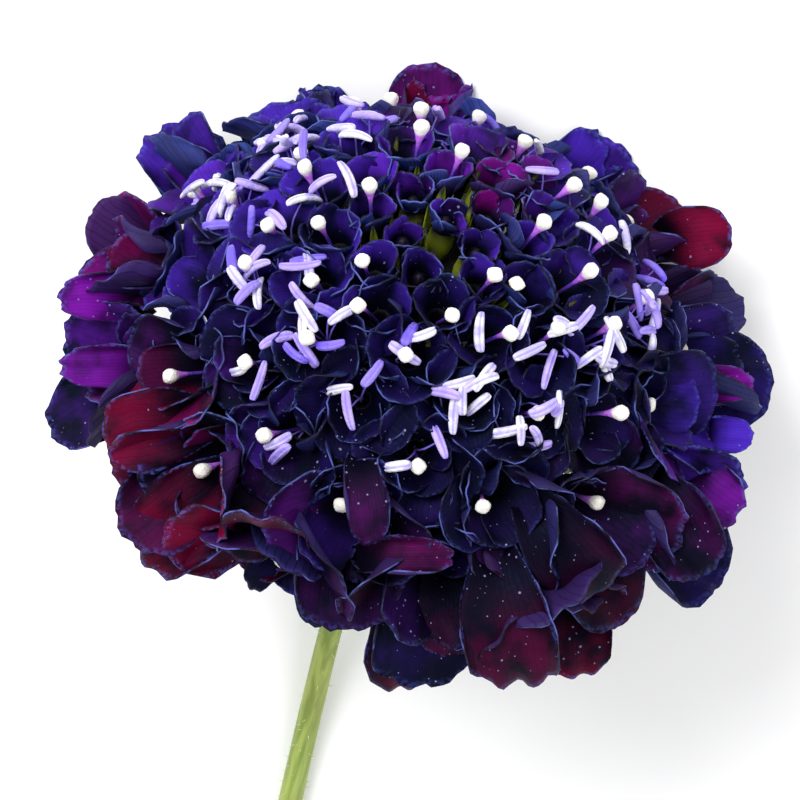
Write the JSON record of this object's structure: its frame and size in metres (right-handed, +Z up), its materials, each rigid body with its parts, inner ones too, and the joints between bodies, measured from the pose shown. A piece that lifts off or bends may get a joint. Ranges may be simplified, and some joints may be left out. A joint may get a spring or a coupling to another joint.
{
  "type": "scabiosa flower",
  "caption": "A single double scabiosa bloom, dark purple with pale anthers, on a slender cut stem, lying on its side.",
  "frame": {"origin": "centre of the bounding box on the surface the flower lies on", "axes": "+Y from the cut end of the stem towards the head, +Z up; the head faces +Y and 35 degrees up"},
  "size_m": [0.0639, 0.1337, 0.0475],
  "materials": {
    "petals": "velvety petal",
    "bracts": "matt leaf",
    "stem": "matt, finely hairy"
  },
  "bodies": {
    "root": {"flower_head": "petals", "green_whorl": "bracts", "stem": "stem"}
  },
  "joints": []
}
